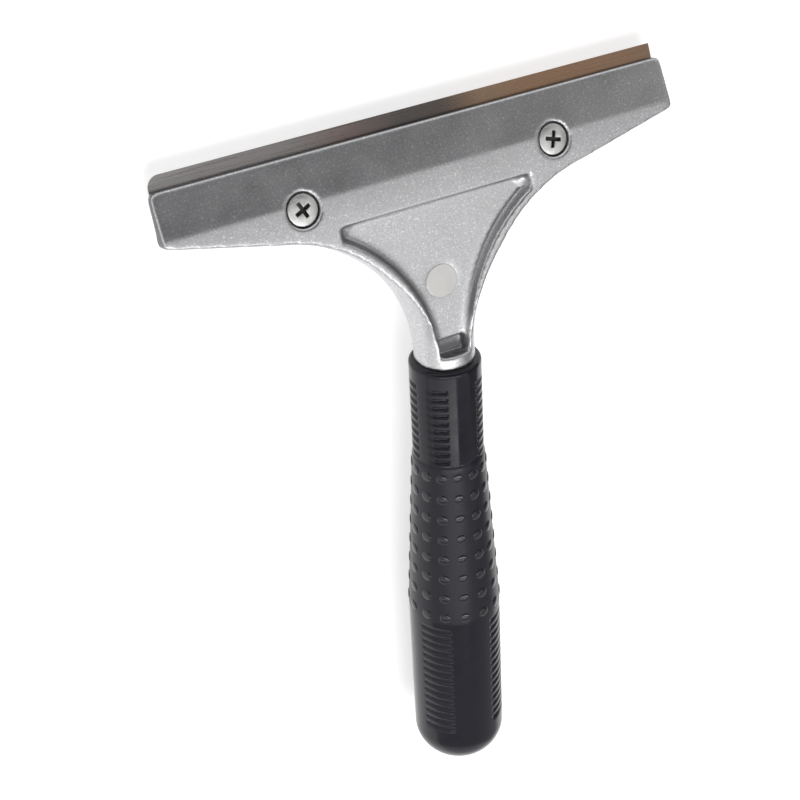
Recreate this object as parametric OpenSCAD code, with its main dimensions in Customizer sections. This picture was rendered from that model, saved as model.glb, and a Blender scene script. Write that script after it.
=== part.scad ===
// Razor blade scraper: die-cast T head with a clamped blade and a sleeved handle.
// The tool lies on its back, front face up, on the blade edge and the end of the grip.
// X runs along the blade, Y from the grip towards the blade, Z up from the table.

/* [Blade] */
// Length of the blade along its edge
blade_len = 150; // [100:1:160]
// Width of the blade from its back to its edge
blade_w = 15; // [10:0.5:22]
// Thickness of the blade
blade_t = 0.6; // [0.4:0.1:1.2]
// How far the blade stands out of the jaw
blade_out = 3.9; // [2:0.1:6]
// Length of the ground bevel on each side of the edge
edge_len = 4.5; // [1:0.1:6]
// Radius of the rounded front corner on the left
corner_r = 3.4; // [1:0.1:3.8]

/* [Head casting] */
// How far the casting reaches past each end of the blade
head_over = 1; // [0.5:0.1:4]
// Thickness of the wings at the screws
head_t = 5.5; // [4.5:0.1:8]
// Depth of the step on the back that holds the blade
seat_d = 0.5; // [0.3:0.05:0.55]
// Angle from the handle to the web
head_tilt = 20; // [12:0.5:28]
// Angle from the web to the bevelled band along the jaw
band_angle = 10; // [5:0.5:14]
// Height of the bevelled band
band_h = 12.5; // [9:0.1:16]
// Height of the web from the crease to the pocket
web_h = 8.7; // [7:0.1:11]
// Height of the wing end below the crease
wing_end = 1.9; // [1:0.1:3]
// Angle at which the lower edge of a wing runs in
wing_taper = 12.9; // [8:0.1:16]
// Radius of the corners at the wing ends
wing_corner = 1.8; // [0.5:0.1:2.4]
// Radius of the concave curves from wing to neck
fillet_r = 44; // [36:0.5:50]

/* [Pocket] */
// Width of the rails beside the pocket
rail_w = 3.3; // [2.5:0.1:4.5]
// Depth of the pocket
pocket_d = 3; // [1.5:0.1:3.2]
// How far the pocket walls lean in
wall_lean = 1.2; // [0.5:0.1:2]
// How far the top wall of the pocket leans in
top_lean = 0.4; // [0.1:0.1:2]
// Half width of the pocket at its top corners
pocket_half = 28.4; // [24:0.1:30]
// Distance from the lower end of the pocket to the grip
pocket_end = 4; // [3:0.1:8]
// Length of the pit at the lower end of the pocket
pit_len = 4.8; // [3:0.1:6]
// Depth of the pit below the pocket floor
pit_d = 2.4; // [1:0.1:4]
// Diameter of the ejector mark on the pocket floor
mark_d = 9.6; // [5:0.1:11]
// Depth of the ejector mark
mark_depth = 0.3; // [0.2:0.1:0.8]
// Distance from the grip to the centre of the ejector mark
mark_place = 25; // [22:0.1:29]
// Distance of the ejector mark to the left of the middle
mark_side = 0.6; // [0:0.1:2]
// Thickness of the web left between the pocket and the cored back
floor_t = 2.6; // [1.8:0.1:4]
// Width of the rails on the cored back
back_rail = 5; // [4.4:0.1:7]
// Thickness of the rib along the cored back
back_rib = 2; // [1.2:0.1:4]

/* [Neck and tang] */
// Diameter of the neck
neck_d = 17; // [14:0.1:19]
// Length of the straight neck between the curves and the grip
neck_straight = 3.6; // [2:0.1:10]
// Width of the shoulder that sits on the mouth of the grip
seat_lip = 0.9; // [0.5:0.1:1.5]
// Depth of the round spigot in the mouth of the grip
spigot_len = 5; // [2:0.5:10]
// Diameter of the tang inside the grip
tang_d = 14.4; // [10:0.1:15.5]
// Thickness of the tang across its two flats
tang_flat = 11.5; // [8:0.1:14]

/* [Screws] */
// Distance between the two clamp screws
screw_gap = 75.2; // [60:0.2:90]
// Distance of the screws behind the crease
screw_back = 1.6; // [0.5:0.1:4]
// Diameter of the screw shank
screw_d = 4; // [3:0.1:4.4]
// Diameter of the screw head
screw_head_d = 8.3; // [6:0.1:9]
// Height of the screw head
screw_head_h = 2.4; // [1.6:0.1:3]
// Height of the crown on top of the screw head
crown_h = 0.3; // [0.2:0.05:0.8]
// Depth of the screw head below the rim of its counterbore
screw_sunk = 0.7; // [0.2:0.1:1.6]
// Diameter of the counterbores
counterbore_d = 9.4; // [9:0.1:12]
// Length of the cross slots in the screw head
slot_len = 4.7; // [3:0.1:5.2]
// Width of the cross slots
slot_w = 1.1; // [0.6:0.05:1.4]
// Depth of the cross slots
slot_d = 1.4; // [0.8:0.1:1.6]
// Turn of the cross slots in the left screw
turn_left = 25; // [-45:1:45]
// Turn of the cross slots in the right screw
turn_right = -17; // [-45:1:45]

/* [Clamp plate and nuts] */
// Thickness of the clamp plate
plate_t = 1.5; // [1:0.1:2]
// How far the plate stays back from the jaw edge
plate_set = 1.3; // [0.8:0.1:3]
// How far the plate reaches behind the screws
plate_tail = 5; // [4.6:0.1:6]
// How far the plate stays inside each end of the casting
plate_in = 2; // [1:0.1:6]
// Bevel along the front of the plate
plate_bevel = 0.9; // [0.3:0.1:0.95]
// Diameter of the nut flange
nut_d = 8; // [6.6:0.1:9]
// Height of the nut flange
nut_h = 2; // [1.4:0.1:2.4]
// Diameter of the nut collar pressed into the plate
collar_d = 5.4; // [5:0.1:6.2]
// How far the screw stands out of the nut
screw_tip = 0.4; // [0.1:0.1:0.6]

/* [Grip] */
// Length of the grip
grip_len = 143; // [110:1:160]
// Diameter at the top ring
grip_top_d = 20.3; // [19.5:0.1:23]
// Diameter of the lower end
grip_end_d = 27; // [24:0.1:30]
// Length of the upper straight section
grip_upper = 31; // [24:0.5:36]
// Length of the straight lower section
grip_lower = 48; // [30:0.5:56]
// Length of the rounded end
dome_len = 12; // [6:0.5:13]
// Radius of the rounded rim at the top
rim_r = 1.1; // [0.5:0.1:1.2]
// Step where the dotted section begins
dot_step = 0.25; // [0.1:0.05:0.5]
// Thickness of the closed end behind the tang
grip_wall_end = 9; // [4:0.5:14]

/* [Hidden] */
$fn = 96;
// Running clearance of the screws
run_gap = 0.05;
// Clearance of fitted parts that stay put
seat_gap = 0.03;
// Reach of a cutter past the face it cuts
past = 20;

blade_half = blade_len / 2;
head_half = blade_half + head_over;
screw_half = screw_gap / 2;
neck_r = neck_d / 2;
axis_z = grip_end_d / 2;

// Jaw and blade, in the frame of the web: y towards the blade, z out of the front
jaw_y = band_h * cos(band_angle);
jaw_z = -band_h * sin(band_angle);
seat_z = -(head_t - seat_d);
edge_y = jaw_y + blade_out;
edge_z = seat_z - blade_t / 2;
shoulder_y = edge_y - blade_w;
plate_front_z = seat_z - blade_t;
plate_back_z = plate_front_z - plate_t;
counterbore_z = -(screw_head_h + screw_sunk);

// Curves from wing to neck: centre beside the neck, tangent to the taper and to the neck
curve_x = neck_r + fillet_r;
curve_y = -wing_end - (head_half - curve_x) * tan(wing_taper) - fillet_r / cos(wing_taper);
neck_len = neck_straight - curve_y;

// Height of the crease above the handle axis puts the blade edge level with the grip's underside
crease_z = -axis_z + edge_y * sin(head_tilt) - edge_z * cos(head_tilt);
grip_end_y = -(neck_len + grip_len);
front_y = edge_y * cos(head_tilt) + edge_z * sin(head_tilt);
middle_y = (front_y + grip_end_y) / 2;

// A point of the web frame, in the side view of the handle
function side(y, z) = [y * cos(head_tilt) + z * sin(head_tilt),
                       crease_z - y * sin(head_tilt) + z * cos(head_tilt)];

// Points along an arc
function arc(centre, r, from, to, steps) =
    [for (i = [0:steps]) let (a = from + (to - from) * i / steps) centre + r * [cos(a), sin(a)]];

// Points along a curve that leaves a towards b and reaches c from b
function bend(a, b, c, steps) =
    [for (i = [0:steps]) let (t = i / steps) pow(1 - t, 2) * a + 2 * t * (1 - t) * b + pow(t, 2) * c];

// Front of the casting in side view: web, then a ramp up to the crown of the neck
neck_clear = 0.35;
web_foot = side(-web_h, 0);
crown = [-neck_len, neck_r + neck_clear];
ramp_way = (crown - web_foot) / norm(crown - web_foot);
ramp_angle = atan2(ramp_way[1], -ramp_way[0]);
blend_len = 6.5;
blend_steps = 10;
back_foot = side(-screw_back - plate_tail - 2, -head_t);

// Rounding of the neck: a tighter curve than the sides, so that it runs out before the wings
round_r = 0.95 * fillet_r;
round_top = 0.95 * round_r;
// The rounding leans back towards the wings, which drafts the sides
round_tilt = 5;
spigot_r = neck_r - seat_lip;
// The side curves bite this much into the taper so that the two cross
curve_bite = 0.05;

tang_end = grip_len - grip_wall_end;
rail_r = fillet_r + rail_w;
pocket_floor_r = rail_r + wall_lean;
pocket_top_y = 0;
pocket_low_y = -(neck_len + web_foot[0] - pocket_end) / cos(ramp_angle);

// Places a piece given along the handle: y = 0 at the crease, z = 0 on the handle axis
module on_handle() {
    translate([0, -middle_y, axis_z]) children();
}

// Places a piece given on the web: y = 0 at the crease, z = 0 on the front of the web
module on_web() {
    on_handle() translate([0, 0, crease_z]) rotate([-head_tilt, 0, 0]) children();
}

// Places a piece given on the ramp: y = 0 at the foot of the web, z = 0 on the ramp
module on_ramp() {
    on_handle() translate([0, web_foot[0], web_foot[1]]) rotate([-ramp_angle, 0, 0]) children();
}

// Extrudes a side view drawn in y and z across the width of the head
module across(width) {
    rotate([90, 0, 90]) linear_extrude(height = width, center = true) children();
}

module side_view() {
    web_tangent = web_foot + blend_len * [cos(head_tilt), -sin(head_tilt)];
    ramp_tangent = web_foot + blend_len * ramp_way;
    polygon(concat(
        [side(jaw_y, jaw_z), side(0, 0)],
        bend(web_tangent, web_foot, ramp_tangent, blend_steps),
        [crown, [-neck_len, -crown[1]], back_foot],
        [side(shoulder_y, -head_t), side(shoulder_y, seat_z), side(jaw_y, seat_z)]));
}

// Wings, web and neck seen square to the web, before the neck is rounded
module wing_plan() {
    low_y = -wing_end;
    neck_half = neck_r + neck_clear;
    touch_x = curve_x - fillet_r * sin(wing_taper);
    touch_y = curve_y + fillet_r * cos(wing_taper);
    lower_corner = [head_half - wing_corner, low_y + wing_corner * (1 / cos(wing_taper) - tan(wing_taper))];
    top_corner = [head_half - wing_corner, jaw_y - wing_corner];
    right = concat(
        [[neck_half, -neck_len - past], [neck_half, curve_y], [touch_x, curve_y], [touch_x, touch_y]],
        arc(lower_corner, wing_corner, -90 + wing_taper, 0, 4),
        arc(top_corner, wing_corner, 0, 90, 4));
    last = len(right) - 1;
    left = [for (i = [0:last]) [-right[last - i][0], right[last - i][1]]];
    difference() {
        polygon(concat(right, left));
        for (side_x = [-curve_x, curve_x])
            translate([side_x, curve_y]) circle(r = fillet_r + curve_bite, $fn = 180);
    }
}

// Cutter that rounds the neck and runs out into the curves, pivoted at the mouth of the grip
module neck_round() {
    translate([0, -neck_len, 0]) rotate([90 - round_tilt, 0, 0]) rotate_extrude() {
        translate([neck_r, -neck_straight]) square([round_r, neck_straight + 2]);
        intersection() {
            translate([neck_r, -neck_straight - round_top]) square([round_r, round_top]);
            translate([neck_r + round_r, -neck_straight]) circle(r = round_r, $fn = 180);
        }
    }
}

module pocket_cut() {
    lean = wall_lean / pocket_d;
    top_r = rail_r - lean * past;
    intersection() {
        across(2 * pocket_half) polygon([
            [pocket_top_y - top_lean, -pocket_d],
            [pocket_top_y + top_lean / pocket_d * past, past],
            [pocket_low_y, past],
            [pocket_low_y, -pocket_d]]);
        difference() {
            translate([0, pocket_low_y / 2, 0])
                cube([2 * pocket_half, 2 * neck_len, 2 * past], center = true);
            for (side_x = [-curve_x, curve_x])
                translate([side_x, (curve_y - web_foot[0]) / cos(ramp_angle), -pocket_d])
                    cylinder(h = past + pocket_d, r1 = pocket_floor_r, r2 = top_r, $fn = 180);
        }
    }
}

module pit_cut() {
    pit_half = curve_x - pocket_floor_r;
    translate([-pit_half, pocket_low_y, -pocket_d - pit_d]) cube([2 * pit_half, pit_len, pit_d + 1]);
}

module mark_cut() {
    mark_y = -(neck_len + web_foot[0] - mark_place) / cos(ramp_angle);
    translate([-mark_side, mark_y, -pocket_d - mark_depth]) cylinder(h = mark_depth + 1, d = mark_d);
}

// Core in the back that keeps the casting an even thickness
module back_core() {
    core_top = -(pocket_d + floor_t);
    core_low_y = pocket_low_y + pit_len + 3;
    core_len = -core_low_y - 7;
    difference() {
        translate([-pocket_half, core_low_y, core_top - past]) cube([2 * pocket_half, core_len, past]);
        for (side_x = [-curve_x, curve_x])
            translate([side_x, (curve_y - web_foot[0]) / cos(ramp_angle), core_top - past - 1])
                cylinder(h = past + 2, r = fillet_r + back_rail, $fn = 180);
        translate([-back_rib / 2, core_low_y - 1, core_top - past - 1])
            cube([back_rib, core_len + 2, past + 2]);
    }
}

module head_casting() {
    color([0.74, 0.75, 0.77]) difference() {
        union() {
            difference() {
                intersection() {
                    on_handle() across(2 * head_half) side_view();
                    on_web() translate([0, 0, -2 * past]) linear_extrude(height = 4 * past) wing_plan();
                }
                on_handle() neck_round();
            }
            on_handle() translate([0, -neck_len, 0]) rotate([90, 0, 0]) tang();
        }
        on_ramp() pocket_cut();
        on_ramp() pit_cut();
        on_ramp() mark_cut();
        on_ramp() back_core();
        on_web() for (x = [-screw_half, screw_half]) translate([x, -screw_back, 0]) {
            translate([0, 0, counterbore_z]) cylinder(h = past, d = counterbore_d);
            translate([0, 0, -head_t - 1]) cylinder(h = head_t + 1, d = screw_d + 2 * run_gap);
        }
    }
}

// Spigot and flatted tang, drawn along z from the mouth of the grip
module tang() {
    translate([0, 0, -1]) cylinder(h = spigot_len + 1, r = spigot_r);
    intersection() {
        cylinder(h = tang_end, d = tang_d);
        translate([-tang_d, -tang_flat / 2, 0]) cube([2 * tang_d, tang_flat, tang_end]);
    }
}

module clamp_plate() {
    plate_half = head_half - plate_in;
    plate_y0 = -screw_back - plate_tail;
    plate_y1 = jaw_y - plate_set;
    tail_y = plate_set - wing_end;
    tail_half = plate_half - (tail_y - plate_y0) / tan(wing_taper);
    color([0.62, 0.63, 0.65]) on_web() difference() {
        intersection() {
            across(2 * plate_half) polygon([
                [plate_y0, plate_front_z],
                [plate_y1, plate_front_z],
                [plate_y1, plate_front_z - plate_t + plate_bevel],
                [plate_y1 - plate_bevel, plate_back_z],
                [plate_y0, plate_back_z]]);
            translate([0, 0, plate_back_z - 1]) linear_extrude(height = plate_t + 2) polygon([
                [plate_half, plate_y1 + 1],
                [-plate_half, plate_y1 + 1],
                [-plate_half, tail_y],
                [-tail_half, plate_y0],
                [tail_half, plate_y0],
                [plate_half, tail_y]]);
        }
        for (x = [-screw_half, screw_half])
            translate([x, -screw_back, plate_back_z - 1])
                cylinder(h = plate_t + 2, d = collar_d + 2 * seat_gap);
    }
}

// Flanged nut pressed into the plate from behind
module clamp_nut(x) {
    color([0.7, 0.68, 0.6]) on_web() translate([x, -screw_back, plate_back_z]) difference() {
        union() {
            translate([0, 0, -nut_h]) cylinder(h = nut_h, d = nut_d);
            cylinder(h = plate_t, d = collar_d);
        }
        translate([0, 0, -nut_h - 1]) cylinder(h = nut_h + plate_t + 2, d = screw_d + 2 * run_gap);
    }
}

module clamp_nut_left() {
    clamp_nut(-screw_half);
}

module clamp_nut_right() {
    clamp_nut(screw_half);
}

module scraper_blade() {
    color([0.45, 0.42, 0.38]) on_web() difference() {
        across(blade_len) polygon([
            [shoulder_y, seat_z],
            [edge_y - edge_len, seat_z],
            [edge_y, edge_z],
            [edge_y - edge_len, plate_front_z],
            [shoulder_y, plate_front_z]]);
        translate([-blade_half, edge_y - corner_r, plate_front_z - 1]) difference() {
            translate([-1, 0, 0]) cube([corner_r + 1, corner_r + 1, blade_t + 2]);
            translate([corner_r, 0, -1]) cylinder(h = blade_t + 4, r = corner_r);
        }
    }
}

// Pan head screw with a cross recess, head in its counterbore
module clamp_screw(x, turn) {
    shank = -plate_back_z + counterbore_z + nut_h + screw_tip;
    head_r = screw_head_d / 2;
    crown_r = (pow(head_r, 2) + pow(crown_h, 2)) / (2 * crown_h);
    crown_a = asin(head_r / crown_r);
    color([0.8, 0.8, 0.8]) on_web() translate([x, -screw_back, counterbore_z]) difference() {
        union() {
            rotate_extrude() polygon(concat(
                [[0, 0], [head_r, 0]],
                arc([0, screw_head_h - crown_r], crown_r, 90 - crown_a, 90, 6)));
            translate([0, 0, -shank]) cylinder(h = shank + 0.5, d = screw_d);
        }
        for (arm = [0, 90]) rotate(turn + arm)
            translate([-slot_len / 2, -slot_w / 2, screw_head_h - slot_d])
                cube([slot_len, slot_w, slot_d + 1]);
    }
}

module clamp_screw_left() {
    clamp_screw(-screw_half, turn_left);
}

module clamp_screw_right() {
    clamp_screw(screw_half, turn_right);
}

// Moulded sleeve, closed at the end, with a socket for the neck and a bore for the tang
module grip_sleeve() {
    top_r = grip_top_d / 2;
    end_r = grip_end_d / 2;
    dome_at = grip_len - dome_len;
    flare_end = dome_at - grip_lower;
    color([0.13, 0.13, 0.15]) on_handle() translate([0, -neck_len, 0]) rotate([90, 0, 0]) difference() {
        rotate_extrude() polygon(concat(
            [[0, 0]],
            arc([top_r - rim_r, rim_r], rim_r, -90, 0, 5),
            [[top_r, grip_upper], [top_r + dot_step, grip_upper + dot_step]],
            [[end_r, flare_end]],
            [for (i = [0:12]) [end_r * cos(i * 7.5), dome_at + dome_len * sin(i * 7.5)]]));
        translate([0, 0, -1]) cylinder(h = spigot_len + 1 + seat_gap, r = spigot_r + seat_gap);
        intersection() {
            cylinder(h = tang_end + seat_gap, d = tang_d + 2 * seat_gap);
            translate([-tang_d, -tang_flat / 2 - seat_gap, -1])
                cube([2 * tang_d, tang_flat + 2 * seat_gap, tang_end + 1 + seat_gap]);
        }
    }
}

head_casting();
clamp_plate();
clamp_nut_left();
clamp_nut_right();
scraper_blade();
clamp_screw_left();
clamp_screw_right();
grip_sleeve();
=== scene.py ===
import math

import bmesh
import bpy
from mathutils import Matrix, Vector


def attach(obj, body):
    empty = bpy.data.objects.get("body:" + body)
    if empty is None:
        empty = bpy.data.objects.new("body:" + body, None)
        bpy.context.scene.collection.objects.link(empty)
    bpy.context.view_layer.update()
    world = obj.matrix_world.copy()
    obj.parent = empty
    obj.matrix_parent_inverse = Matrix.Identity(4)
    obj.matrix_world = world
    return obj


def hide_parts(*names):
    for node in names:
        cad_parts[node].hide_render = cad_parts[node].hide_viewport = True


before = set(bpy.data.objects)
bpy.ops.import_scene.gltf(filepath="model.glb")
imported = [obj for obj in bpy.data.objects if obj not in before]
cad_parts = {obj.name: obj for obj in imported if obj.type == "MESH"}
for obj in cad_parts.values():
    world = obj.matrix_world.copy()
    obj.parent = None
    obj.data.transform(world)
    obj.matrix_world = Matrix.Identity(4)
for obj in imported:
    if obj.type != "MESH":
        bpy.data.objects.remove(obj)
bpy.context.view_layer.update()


# The cast head: one silvery die casting with two wings, a web, a pocket and a neck.
# Its tang runs on inside the grip. The skin is left as cast, so the edges are soft
# and the surface glitters with fine grain.
grip_mouth_y = 0.0367793
hidden_neck = 0.002
weld_distance = 1e-6
sharp_angle = math.radians(32)
skin_voxel = 0.00045
skin_rounds = 12
noise_low, noise_high = 0.3, 0.7


def cad_copy(node):
    bm = bmesh.new()
    bm.from_mesh(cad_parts[node].data)
    bmesh.ops.remove_doubles(bm, verts=bm.verts, dist=weld_distance)
    return bm


def add_object(name, bm, material):
    mesh = bpy.data.meshes.new(name)
    bm.to_mesh(mesh)
    bm.free()
    mesh.materials.append(material)
    thing = bpy.data.objects.new(name, mesh)
    bpy.context.scene.collection.objects.link(thing)
    return thing


def add_piece(name, bm, material, body, flat_over=None):
    piece = add_object(name, bm, material)
    piece.data.set_sharp_from_angle(angle=sharp_angle)
    for polygon in piece.data.polygons:
        polygon.use_smooth = flat_over is None or polygon.area < flat_over
    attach(piece, body)
    return piece


def new_material(name):
    material = bpy.data.materials.new(name)
    material.use_nodes = True
    return material, material.node_tree, material.node_tree.nodes["Principled BSDF"]


def add_ramp(tree, stops):
    node = tree.nodes.new("ShaderNodeValToRGB")
    ramp = node.color_ramp
    while len(ramp.elements) < len(stops):
        ramp.elements.new(0.5)
    for element, (place, colour) in zip(ramp.elements, stops):
        element.position = place
        element.color = (*colour, 1)
    return node


def add_range(tree, from_min, from_max, to_min, to_max):
    node = tree.nodes.new("ShaderNodeMapRange")
    names = ("From Min", "From Max", "To Min", "To Max")
    for name, value in zip(names, (from_min, from_max, to_min, to_max)):
        node.inputs[name].default_value = value
    return node


def noise_tone(tree, noise, dark, light):
    tone = add_ramp(tree, [(noise_low, dark), (noise_high, light)])
    tree.links.new(noise, tone.inputs["Fac"])
    return tone.outputs["Color"]


def noise_range(tree, noise, low, high):
    spread = add_range(tree, noise_low, noise_high, low, high)
    tree.links.new(noise, spread.inputs["Value"])
    return spread.outputs["Result"]


# Grain of a skin at two scales: fine grit, and slow blotches between lighter and darker places
grain = bpy.data.node_groups.new("skin_grain", "ShaderNodeTree")
grain_place = grain.nodes.new("ShaderNodeTexCoord")
grain_in = grain.nodes.new("NodeGroupInput")
grain_out = grain.nodes.new("NodeGroupOutput")
for name, detail in (("Grit", 2.0), ("Blotch", 4.0)):
    grain.interface.new_socket(name + " Scale", in_out="INPUT", socket_type="NodeSocketFloat")
    grain.interface.new_socket(name, in_out="OUTPUT", socket_type="NodeSocketFloat")
    noise = grain.nodes.new("ShaderNodeTexNoise")
    noise.inputs["Detail"].default_value = detail
    noise.inputs["Roughness"].default_value = 0.6
    grain.links.new(grain_place.outputs["Object"], noise.inputs["Vector"])
    grain.links.new(grain_in.outputs[name + " Scale"], noise.inputs["Scale"])
    grain.links.new(noise.outputs["Fac"], grain_out.inputs[name])


def add_grain(tree, grit_scale, blotch_scale):
    node = tree.nodes.new("ShaderNodeGroup")
    node.node_tree = grain
    node.inputs["Grit Scale"].default_value = grit_scale
    node.inputs["Blotch Scale"].default_value = blotch_scale
    return node


def add_bump(tree, shader, height, strength, distance):
    node = tree.nodes.new("ShaderNodeBump")
    node.inputs["Strength"].default_value = strength
    node.inputs["Distance"].default_value = distance
    tree.links.new(height, node.inputs["Height"])
    tree.links.new(node.outputs["Normal"], shader.inputs["Normal"])


# Mixes a colour towards a dark tone where the shade attribute is set: painted shade in recesses and
# under edges.
def add_painted_shade(tree, colour, dark):
    painted_shade = tree.nodes.new("ShaderNodeAttribute")
    painted_shade.attribute_name = "painted_shade"
    mix = tree.nodes.new("ShaderNodeMix")
    mix.data_type = "RGBA"
    mix.inputs["B"].default_value = (*dark, 1)
    tree.links.new(painted_shade.outputs["Fac"], mix.inputs["Factor"])
    tree.links.new(colour, mix.inputs["A"])
    return mix.outputs["Result"]


# Most of the skin is an even grey, and only the tops of the grit are bright flecks
cast_metal, tree, shader = new_material("cast_metal")
shader.inputs["Metallic"].default_value = 1.0
cast_grain = add_grain(tree, grit_scale=2000, blotch_scale=90)
cast_spread = add_range(tree, 0.28, 0.72, 0, 1)
cast_colour = add_ramp(tree, [
    (0.0, (0.47, 0.47, 0.482)), (0.55, (0.555, 0.555, 0.567)),
    (0.8, (0.63, 0.63, 0.637)), (1.0, (0.9, 0.9, 0.9)),
])
# Painted shade: the casting's colour darkens on the pocket walls, in the pit and on the lip's front
# wall.
cast_shaded = add_painted_shade(tree, cast_colour.outputs["Color"], dark=(0.1, 0.1, 0.105))
cast_rough = noise_range(tree, cast_grain.outputs["Blotch"], 0.3, 0.38)
tree.links.new(cast_grain.outputs["Grit"], cast_spread.inputs["Value"])
tree.links.new(cast_spread.outputs["Result"], cast_colour.inputs["Fac"])
tree.links.new(cast_shaded, shader.inputs["Base Color"])
tree.links.new(cast_rough, shader.inputs["Roughness"])
add_bump(tree, shader, cast_grain.outputs["Grit"], strength=0.22, distance=0.00012)

bm = cad_copy("head_casting")
bmesh.ops.bisect_plane(
    bm, geom=bm.verts[:] + bm.edges[:] + bm.faces[:], clear_outer=True,
    plane_co=(0, grip_mouth_y - hidden_neck, 0), plane_no=(0, -1, 0),
)
bmesh.ops.holes_fill(bm, edges=[e for e in bm.edges if e.is_boundary])
cast_head = add_piece("cast_head", bm, cast_metal, "handle")
skin = cast_head.modifiers.new("cast_skin", "REMESH")
skin.mode = "VOXEL"
skin.voxel_size = skin_voxel
skin.use_smooth_shade = True
soft = cast_head.modifiers.new("soft_edges", "SMOOTH")
soft.factor = 0.5
soft.iterations = skin_rounds
bpy.context.view_layer.update()
depsgraph = bpy.context.evaluated_depsgraph_get()
shaped = bpy.data.meshes.new_from_object(cast_head.evaluated_get(depsgraph))
cast_head.modifiers.clear()
cast_head.data = shaped
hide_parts("head_casting")

# The pocket's floor runs into its walls with a wide fillet, and its two corners are round.
# Painted shade darkens its walls and the pit at its foot, and a painted shadow darkens the front of
# the lip where the blade comes out.
# The pocket is measured from the foot of the ramp, along the ramp and square to it.
ramp_foot = (0, 0.0846255, 0.0135)
ramp_angle = math.radians(10.48)
curve_x, curve_y = 0.0525, -0.044997
rail_r, rail_margin = 0.0473, 0.0003
pocket_half, pocket_top_y = 0.0288, 0.0008
pocket_low_z, pocket_high_z = -0.0047, -0.0006
pit_half, pit_top_y, pit_foot_y = 0.006, -0.0393, -0.0458
pit_low_z, pit_high_z = -0.008, -0.003
pit_full_depth = 0.0012
corner_x, corner_y, corner_reach = 0.0272, -0.001, 0.0028
pocket_rounds, corner_rounds = 14, 40
wall_shade, pit_floor_shade, pit_wall_shade, lip_shadow = 0.5, 0.7, 0.2, 0.95
jaw_out = Vector((0, 0.9397, -0.342))
lip_y = 0.1
to_ramp = (Matrix.Translation(ramp_foot) @ Matrix.Rotation(-ramp_angle, 4, "X")).inverted()
ramp_up = to_ramp.inverted().to_3x3() @ Vector((0, 0, 1))


def smoothstep(low, high, value):
    t = min(1.0, max(0.0, (value - low) / (high - low)))
    return t * t * (3 - 2 * t)


bm = bmesh.new()
bm.from_mesh(shaped)
painted_shade = bm.verts.layers.float.new("painted_shade")
pocket, corners, pit = [], [], []
for vert in bm.verts:
    x, y, z = to_ramp @ vert.co
    if math.hypot(abs(x) - curve_x, y - curve_y) <= rail_r - rail_margin:
        continue
    in_pocket = abs(x) < pocket_half and pit_top_y < y < pocket_top_y
    if in_pocket and pocket_low_z < z < pocket_high_z:
        pocket.append(vert)
        if math.hypot(abs(x) - corner_x, y - corner_y) < corner_reach:
            corners.append(vert)
    if abs(x) < pit_half and pit_foot_y < y < pit_top_y and pit_low_z < z < pit_high_z:
        pit.append((vert, pit_high_z - z))
for verts, rounds in ((pocket, pocket_rounds), (corners, corner_rounds)):
    for _ in range(rounds):
        bmesh.ops.smooth_vert(
            bm, verts=verts, factor=0.5, use_axis_x=True, use_axis_y=True, use_axis_z=True
        )
bm.normal_update()
# Painted shade: pocket walls darken as they turn away from the ramp, the pit darkens with depth, and
# the lip's front wall gets a painted shadow.
for vert in pocket:
    vert[painted_shade] = wall_shade * smoothstep(0.92, 0.5, vert.normal.dot(ramp_up))
for vert, depth in pit:
    share = pit_floor_shade if vert.normal.dot(ramp_up) > 0.7 else pit_wall_shade
    vert[painted_shade] = min(1.0, depth / pit_full_depth) * share
for vert in bm.verts:
    if vert.co.y > lip_y:
        vert[painted_shade] = lip_shadow * smoothstep(0.5, 0.75, vert.normal.dot(jaw_out))
bm.to_mesh(shaped)
bm.free()


# Smooth round face left by the ejector pin
def grained_metal(name, grit_scale, blotch_scale, tones, roughness, shade_dark=None):
    material, tree, shader = new_material(name)
    shader.inputs["Metallic"].default_value = 1.0
    skin = add_grain(tree, grit_scale, blotch_scale)
    colour = noise_tone(tree, skin.outputs["Blotch"], *tones)
    # With a dark tone given, the colour darkens to it where the shade attribute is set: painted
    # shade.
    if shade_dark:
        colour = add_painted_shade(tree, colour, shade_dark)
    tree.links.new(colour, shader.inputs["Base Color"])
    rough = noise_range(tree, skin.outputs["Grit"], *roughness)
    tree.links.new(rough, shader.inputs["Roughness"])
    return material


pin_r, pin_depth, pin_edge = 0.00465, 0.0004, 0.00012
pin_place = (-0.0006, -0.023233, -0.00322)
pin_face = grained_metal(
    "pin_face", 900, 200, tones=((0.6, 0.59, 0.575), (0.66, 0.65, 0.635)), roughness=(0.36, 0.42)
)
bm = bmesh.new()
bmesh.ops.create_cone(
    bm, cap_ends=True, segments=72, radius1=pin_r, radius2=pin_r, depth=pin_depth
)
rim = [e for e in bm.edges if all(v.co.z > 0 for v in e.verts)]
bmesh.ops.bevel(
    bm, geom=rim, offset=pin_edge, affect="EDGES", segments=2, profile=0.5, material=-1
)
bmesh.ops.transform(
    bm, verts=bm.verts, matrix=to_ramp.inverted() @ Matrix.Translation(pin_place)
)
add_piece("ejector_face", bm, pin_face, "handle", flat_over=1e-6)


# The blade: a long strip of hardened steel, ground to an edge and clamped under the jaw.
# Its colour runs from grey at the left through dark in the middle to brown at the right, a painted
# reflection of the surroundings.
blade_half = 0.075


def tint_along_x(tree, first, last, stops):
    place = tree.nodes.new("ShaderNodeTexCoord")
    axes = tree.nodes.new("ShaderNodeSeparateXYZ")
    along = add_range(tree, first, last, 0, 1)
    tint = add_ramp(tree, stops)
    tree.links.new(place.outputs["Object"], axes.inputs["Vector"])
    tree.links.new(axes.outputs["X"], along.inputs["Value"])
    tree.links.new(along.outputs["Result"], tint.inputs["Fac"])
    return tint.outputs["Color"]


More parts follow.
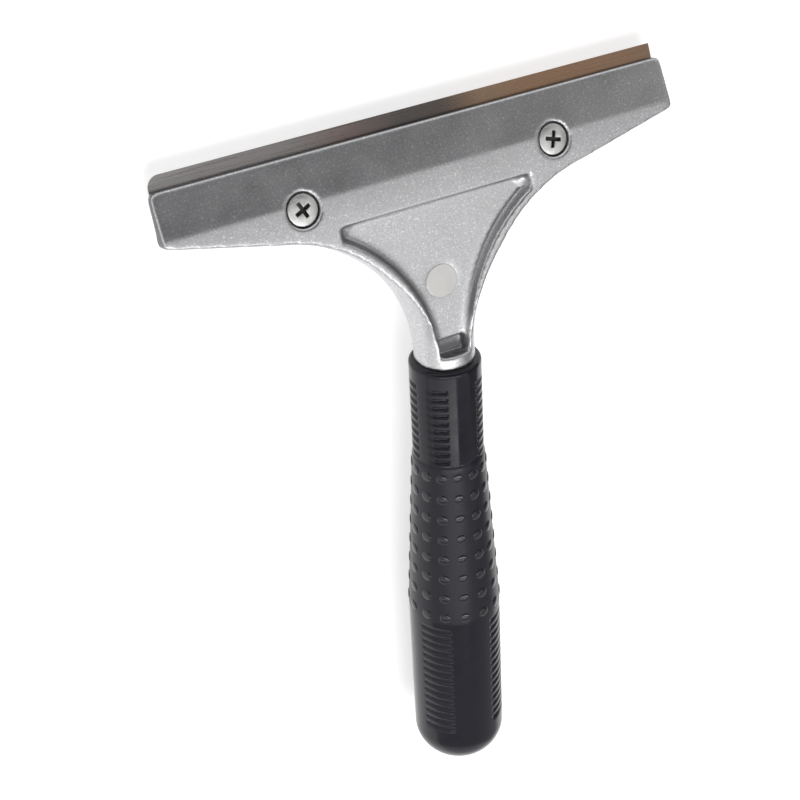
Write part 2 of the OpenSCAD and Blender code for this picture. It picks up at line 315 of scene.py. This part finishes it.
def brush_lines(tree, scale, detail):
    place = tree.nodes.new("ShaderNodeTexCoord")
    stretch = tree.nodes.new("ShaderNodeMapping")
    stretch.inputs["Scale"].default_value = scale
    lines = tree.nodes.new("ShaderNodeTexNoise")
    lines.inputs["Scale"].default_value = 1.0
    lines.inputs["Detail"].default_value = detail
    tree.links.new(place.outputs["Object"], stretch.inputs["Vector"])
    tree.links.new(stretch.outputs["Vector"], lines.inputs["Vector"])
    return lines.outputs["Fac"]


blade_steel, tree, shader = new_material("blade_steel")
shader.inputs["Metallic"].default_value = 1.0
# Painted reflection along the blade: grey, then dark, then brown from left to right.
blade_painted_reflection = tint_along_x(tree, -blade_half, blade_half, [
    (0.0, (0.58, 0.56, 0.55)), (0.27, (0.44, 0.41, 0.4)),
    (0.37, (0.34, 0.265, 0.245)), (0.48, (0.18, 0.165, 0.16)),
    (0.56, (0.19, 0.16, 0.14)), (0.64, (0.42, 0.29, 0.2)),
    (0.75, (0.42, 0.26, 0.17)), (1.0, (0.36, 0.235, 0.16)),
])
blade_lines = brush_lines(tree, scale=(40, 2500, 2500), detail=3.0)
tree.links.new(blade_painted_reflection, shader.inputs["Base Color"])
tree.links.new(noise_range(tree, blade_lines, 0.24, 0.36), shader.inputs["Roughness"])
bm = cad_copy("scraper_blade")
bmesh.ops.dissolve_limit(bm, angle_limit=math.radians(1), verts=bm.verts, edges=bm.edges)
blade = add_piece("blade", bm, blade_steel, "blade", flat_over=0)
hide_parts("scraper_blade")


# The clamp: a flat steel plate behind the blade, with two flanged nuts pressed into it.
# The plate is rolled stock with a satin finish, and the nuts are plated.
plate_edge, nut_edge = 0.0002, 0.00015
flat_face = 2e-6
plate_steel, tree, shader = new_material("plate_steel")
shader.inputs["Metallic"].default_value = 1.0
plate_lines = brush_lines(tree, scale=(60, 3000, 3000), detail=4.0)
plate_tone = noise_tone(tree, plate_lines, (0.42, 0.42, 0.43), (0.6, 0.6, 0.61))
tree.links.new(plate_tone, shader.inputs["Base Color"])
tree.links.new(noise_range(tree, plate_lines, 0.3, 0.45), shader.inputs["Roughness"])


def soften(bm, width):
    bmesh.ops.dissolve_limit(bm, angle_limit=math.radians(2), verts=bm.verts, edges=bm.edges)
    sharp = math.radians(40)
    rims = [e for e in bm.edges if len(e.link_faces) == 2 and e.calc_face_angle() > sharp]
    bmesh.ops.bevel(
        bm, geom=rims, offset=width, affect="EDGES", segments=2, profile=0.5, material=-1,
        clamp_overlap=True,
    )


bm = cad_copy("clamp_plate")
soften(bm, plate_edge)
plate = add_piece("plate", bm, plate_steel, "clamp", flat_over=flat_face)
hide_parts("clamp_plate")

nut_plating = grained_metal(
    "nut_plating", 1800, 500, tones=((0.52, 0.5, 0.42), (0.7, 0.68, 0.6)), roughness=(0.22, 0.4)
)
for side in ("left", "right"):
    bm = cad_copy("clamp_nut_" + side)
    soften(bm, nut_edge)
    nut = add_piece("nut_" + side, bm, nut_plating, "clamp", flat_over=flat_face)
    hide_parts("clamp_nut_" + side)


# The screws: two bright cross-head machine screws, sunk in counterbores on the front of the head.
# They turn in the casting and draw the clamp plate up against the blade. Their cross recesses are
# darkened with painted shade.
screw_edge = 0.00012
screw_x, screw_y, screw_z = 0.0376, 0.0901687, 0.0079708
screw_axis = Vector((0, 0.3420201, 0.9396926))
recess_reach = 0.0026
recess_top, recess_foot = 0.0006, 0.0018
# The screw metal darkens to a near-black painted shade in the cross recesses.
screw_bright = grained_metal(
    "screw_bright", 2500, 700, tones=((0.66, 0.66, 0.65), (0.82, 0.82, 0.8)),
    roughness=(0.32, 0.46), shade_dark=(0.06, 0.058, 0.055),
)
for side, x in (("left", -screw_x), ("right", screw_x)):
    bm = cad_copy("clamp_screw_" + side)
    soften(bm, screw_edge)
    # Painted shade: the cross recess of each head is marked for darkening.
    painted_shade = bm.verts.layers.float.new("painted_shade")
    middle = Vector((x, screw_y, screw_z))
    heights = {vert: (vert.co - middle).dot(screw_axis) for vert in bm.verts}
    top = max(heights.values())
    for vert, height in heights.items():
        away = (vert.co - middle - screw_axis * height).length
        if away < recess_reach and top - recess_foot < height < top - recess_top:
            vert[painted_shade] = 1.0
    screw = add_piece("screw_" + side, bm, screw_bright, "screw_" + side)
    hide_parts("clamp_screw_" + side)


# The grip: one black moulded sleeve, pushed over the tang and closed at its end.
# Its surface has finger grooves in panels above and below, and raised dots between them.
# Lengths along it are counted from its mouth, and angles round it from the front.
handle_z = 0.0135
grip_length = 0.143
mouth_r = 0.00763
rim_r, rim_steps = 0.0011, 6
top_r = 0.01015
dots_r = 0.0104
end_r = 0.0135
upper_end, flare_end = 0.031, 0.083
dome_at, dome_steps = 0.131, 24
ring_step = 0.00032
grip_sides = 240


def flare_radius(s):
    share = min(1.0, max(0.0, (s - upper_end) / (flare_end - upper_end)))
    return dots_r + (end_r - dots_r) * share


def rings(first, step, count):
    return [first + step * i for i in range(count)]


profile = [(mouth_r, 0.0), (top_r - rim_r, 0.0)]
for i in range(1, rim_steps + 1):
    a = math.radians(90 * i / rim_steps)
    profile.append((top_r - rim_r + rim_r * math.sin(a), rim_r - rim_r * math.cos(a)))
profile += [(top_r, s) for s in rings(0.0018, 0.0008, 4) + rings(0.0050, ring_step, 79)]
profile += [
    (top_r, 0.0303), (top_r + 0.00003, 0.0306), (top_r + 0.00015, 0.0309), (dots_r + 0.00004, 0.0313)
]
profile += [(flare_radius(s), s) for s in rings(0.0325, 0.0021, 24)]
profile += [(end_r, s) for s in [0.0835, 0.0848] + rings(0.0856, ring_step, 126)]
profile += [(end_r, s) for s in rings(0.1270, 0.001, 4)]
for i in range(dome_steps):
    a = math.radians(90 * i / dome_steps)
    profile.append((end_r * math.cos(a), dome_at + (grip_length - dome_at) * math.sin(a)))
profile.append((0.0, grip_length))

bm = bmesh.new()
chain = [bm.verts.new((r, grip_mouth_y - s, handle_z)) for r, s in profile]
edges = [bm.edges.new(pair) for pair in zip(chain, chain[1:])]
bmesh.ops.spin(
    bm, geom=chain + edges, cent=(0, 0, handle_z), axis=(0, 1, 0), angle=2 * math.pi,
    steps=grip_sides, use_merge=True,
)
bmesh.ops.remove_doubles(bm, verts=bm.verts, dist=weld_distance)


def turn_from(angle, centre):
    return (angle - centre + 180) % 360 - 180


def groove(s, first, step, count, half):
    number = min(count - 1, max(0, round((s - first) / step)))
    away = abs(s - first - number * step) / half
    return (1 - away * away) ** 2 if away < 1 else 0.0


# Upper grooves are blunt at one end and fade out at the other, lower ones are blunt at both
upper_panels = (-154, -100, -45, 45, 100, 154)
upper_zone = (0.005, 0.0303)
upper_depth, upper_half = 0.0008, 0.0008
upper_first, upper_step, upper_count = 0.0061, 0.002556, 10
upper_fade, upper_blunt = (-20, 8), (19.5, 17)
lower_panels = (-137.6, -54.4, 42.4, 125.6)
lower_zone = (0.0856, 0.1268)
lower_depth, lower_half = 0.00036, 0.0009
lower_first, lower_step, lower_count = 0.0872, 0.00269, 15
lower_blunt = (22.5, 17)
skin_inner_r = 0.009
satin_from, satin_to = (0.0306, 0.0316), (0.0846, 0.0836)
satin_depth = 0.0003
satin = bm.verts.layers.float.new("satin")
for vert in bm.verts:
    s = grip_mouth_y - vert.co.y
    out = Vector((vert.co.x, 0, vert.co.z - handle_z))
    if out.length < skin_inner_r:
        continue
    angle = math.degrees(math.atan2(out.x, out.z))
    depth = 0.0
    if upper_zone[0] < s < upper_zone[1]:
        for centre in upper_panels:
            away = turn_from(angle, centre) * (1 if centre < 0 else -1)
            cut = upper_depth * smoothstep(*upper_fade, away) * smoothstep(*upper_blunt, away)
            depth = max(depth, cut)
        depth *= groove(s, upper_first, upper_step, upper_count, upper_half)
    elif lower_zone[0] < s < lower_zone[1]:
        for centre in lower_panels:
            away = abs(turn_from(angle, centre))
            depth = max(depth, lower_depth * smoothstep(*lower_blunt, away))
        depth *= groove(s, lower_first, lower_step, lower_count, lower_half)
    vert.co -= out.normalized() * depth
    among_dots = smoothstep(*satin_from, s) * smoothstep(*satin_to, s)
    vert[satin] = max(among_dots, min(1.0, depth / satin_depth))
bmesh.ops.recalc_face_normals(bm, faces=bm.faces)


# The black is glossy, and less so in the grooves and among the dots
def moulded_black(name, gloss):
    material, tree, shader = new_material(name)
    shader.inputs["Specular IOR Level"].default_value = gloss
    skin = add_grain(tree, grit_scale=3500, blotch_scale=200)
    blotch = skin.outputs["Blotch"]
    tone = noise_tone(tree, blotch, (0.0064, 0.0058, 0.0115), (0.0084, 0.0077, 0.015))
    satin_share = tree.nodes.new("ShaderNodeAttribute")
    satin_share.attribute_name = "satin"
    blur = tree.nodes.new("ShaderNodeMath")
    blur.operation = "MULTIPLY_ADD"
    blur.inputs[1].default_value = 0.16
    tree.links.new(tone, shader.inputs["Base Color"])
    tree.links.new(satin_share.outputs["Fac"], blur.inputs[0])
    tree.links.new(noise_range(tree, blotch, 0.13, 0.18), blur.inputs[2])
    tree.links.new(blur.outputs["Value"], shader.inputs["Roughness"])
    add_bump(tree, shader, skin.outputs["Grit"], strength=0.05, distance=0.00003)
    return material


grip_black = moulded_black("grip_black", gloss=0.3)
grip = add_piece("grip", bm, grip_black, "handle")
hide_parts("grip_sleeve")

# Raised dots, in rows round the flared middle of the grip
dot_radius, dot_height = 0.00165, 0.00032
dot_sink, dot_root = 0.00006, 0.00015
dot_rows, first_row, row_step = 8, 0.0345, 0.0068
dot_columns, dot_turn = 14, -2
bm = bmesh.new()
for row in range(dot_rows):
    s = first_row + row_step * row
    for column in range(dot_columns):
        turn = math.radians((column + 0.5) * 360 / dot_columns + dot_turn)
        seat = (
            Matrix.Translation((0, grip_mouth_y - s, handle_z)) @ Matrix.Rotation(turn, 4, "Y")
            @ Matrix.Translation((0, 0, flare_radius(s) - dot_sink))
        )
        dome = bmesh.ops.create_uvsphere(
            bm, u_segments=18, v_segments=10, radius=1,
            matrix=seat @ Matrix.Diagonal((dot_radius, dot_radius, dot_height, 1)),
        )["verts"]
        dome_edges = {e for v in dome for e in v.link_edges}
        dome_faces = {f for v in dome for f in v.link_faces}
        up = (seat.to_3x3() @ Vector((0, 0, 1))).normalized()
        bmesh.ops.bisect_plane(
            bm, geom=dome + list(dome_edges) + list(dome_faces), clear_inner=True,
            plane_co=seat.translation - up * dot_root, plane_no=up,
        )
dot_black = moulded_black("dot_black", gloss=0.5)
add_piece("grip_dots", bm, dot_black, "handle")


# The studio: a white table, one soft box above the handle, and cards and far bows of light round it.
# The table lies a little below the tool, so that the blade can slide out of the sloping jaw.
# Cards and bows show only in reflections.
table_drop, table_size = 0.006, 8


def seen_share(tree):
    seen = tree.nodes.new("ShaderNodeLightPath")
    either = tree.nodes.new("ShaderNodeMath")
    either.operation = "MAXIMUM"
    through = tree.nodes.new("ShaderNodeMath")
    through.operation = "MAXIMUM"
    tree.links.new(seen.outputs["Is Camera Ray"], either.inputs[0])
    tree.links.new(seen.outputs["Is Glossy Ray"], either.inputs[1])
    tree.links.new(either.outputs["Value"], through.inputs[0])
    tree.links.new(seen.outputs["Is Transmission Ray"], through.inputs[1])
    return through.outputs["Value"]


floor_white, tree, shader = new_material("floor_white")
shader.inputs["Base Color"].default_value = (0.65, 0.65, 0.65, 1)
shader.inputs["Roughness"].default_value = 0.9
shader.inputs["Specular IOR Level"].default_value = 0.0
shader.inputs["Emission Color"].default_value = (1, 1, 1, 1)
glow = tree.nodes.new("ShaderNodeMath")
glow.operation = "MULTIPLY"
glow.inputs[1].default_value = 0.65
tree.links.new(seen_share(tree), glow.inputs[0])
tree.links.new(glow.outputs["Value"], shader.inputs["Emission Strength"])

card_dark, tree, shader = new_material("card_dark")
shader.inputs["Roughness"].default_value = 1.0
card_tone = tint_along_x(tree, 0.42, 0.62, [
    (0.0, (0.045, 0.045, 0.05)), (1.0, (0.15, 0.15, 0.146)),
])
tree.links.new(card_tone, shader.inputs["Base Color"])

side_dark, tree, shader = new_material("side_dark")
shader.inputs["Base Color"].default_value = (0.4, 0.4, 0.4, 1)
shader.inputs["Roughness"].default_value = 1.0


def add_sheet(name, place, turn, width, height, material):
    bm = bmesh.new()
    bmesh.ops.create_grid(bm, x_segments=1, y_segments=1, size=0.5)
    bmesh.ops.transform(
        bm, verts=bm.verts,
        matrix=Matrix.Translation(place) @ turn @ Matrix.Diagonal((width, height, 1, 1)),
    )
    sheet = add_object(name, bm, material)
    return sheet


flat = Matrix()
upright = Matrix.Rotation(math.radians(90), 4, "X")
sideways = Matrix.Rotation(math.radians(90), 4, "Z") @ upright
add_sheet("table_top", (0, 0, -table_drop), flat, table_size, table_size, floor_white)
cards = [
    add_sheet("left_flag", (-0.09, 0.08, 0.0003), flat, 0.027, 0.08, side_dark),
    add_sheet("back_card", (-0.4, 0.62, 1.06), upright, 2.5, 1.28, card_dark),
    add_sheet("right_card", (0.95, -0.1, 0.6), sideways, 1.2, 1.2, side_dark),
]

# Far bows over the handle: two strip lights, and grey behind them and at the right
bow_radius = 6.0
bow_steps = 48
strip_near, strip_far = -3.72, -4.15


def bow_light(name, strength, left_end=1.0):
    material, tree, shader = new_material(name)
    shader.inputs["Base Color"].default_value = (0, 0, 0, 1)
    shader.inputs["Emission Color"].default_value = (1, 1, 1, 1)
    shader.inputs["Emission Strength"].default_value = strength
    if left_end < 1:
        fade = tint_along_x(tree, -bow_radius, 0, [(0.0, (left_end,) * 3), (1.0, (1, 1, 1))])
        tree.links.new(fade, shader.inputs["Emission Color"])
    return material


def add_bow(name, first, last, near_y, far_y, material):
    bm = bmesh.new()
    turn = Matrix.Rotation(math.radians(first), 3, "Y")
    chain = [bm.verts.new(turn @ Vector((0, y, bow_radius))) for y in (near_y, far_y)]
    edge = bm.edges.new(chain)
    bmesh.ops.spin(
        bm, geom=chain + [edge], cent=(0, 0, 0), axis=(0, 1, 0),
        angle=math.radians(last - first), steps=bow_steps,
    )
    bow = add_object(name, bm, material)
    return bow


strip_white = bow_light("strip_white", strength=5.6, left_end=0.35)
glint_white = bow_light("glint_white", strength=11.0)
bow_grey = bow_light("bow_grey", strength=0.35)
bow_pale = bow_light("bow_pale", strength=0.6)
cards += [
    add_bow("glint_bow", -45, 15, -1.9, -2.3, glint_white),
    add_bow("strip_bow", -85, 5, strip_near, strip_far, strip_white),
    add_bow("side_bow", 5, 88, strip_near, strip_far, bow_grey),
    add_bow("rear_bow", -88, 88, strip_far, -9, bow_pale),
]
for card in cards:
    for way in ("visible_camera", "visible_diffuse", "visible_shadow", "visible_transmission"):
        setattr(card, way, False)

lamp = bpy.data.lights.new("soft_box", "AREA")
lamp.shape = "RECTANGLE"
lamp.size, lamp.size_y = 0.9, 0.7
lamp.energy = 12
soft_box = bpy.data.objects.new("soft_box", lamp)
soft_box.location = (-0.25, -0.35, 1.3)
lamp_way = Vector((0, 0.02, 0.02)) - soft_box.location
soft_box.rotation_euler = lamp_way.to_track_quat("-Z", "Y").to_euler()
soft_box.visible_glossy = False
bpy.context.scene.collection.objects.link(soft_box)

world = bpy.data.worlds.new("studio")
world.use_nodes = True
bpy.context.scene.world = world
tree = world.node_tree
background = tree.nodes["Background"]
background.inputs["Color"].default_value = (1, 1, 1, 1)
level = add_range(tree, 0, 1, 0.4, 1.0)
tree.links.new(seen_share(tree), level.inputs["Value"])
tree.links.new(level.outputs["Result"], background.inputs["Strength"])

camera_data = bpy.data.cameras.new("camera")
camera_data.sensor_width = 36
camera_data.lens = 88.485
camera = bpy.data.objects.new("camera", camera_data)
camera.matrix_world = Matrix((
    (0.87762, 0.29154, -0.38050, -0.22055),
    (-0.04600, 0.84134, 0.53855, 0.31891),
    (0.47714, -0.45514, 0.75179, 0.42060),
    (0, 0, 0, 1),
))
bpy.context.scene.collection.objects.link(camera)
bpy.context.scene.camera = camera
bpy.context.scene.view_settings.view_transform = "Standard"
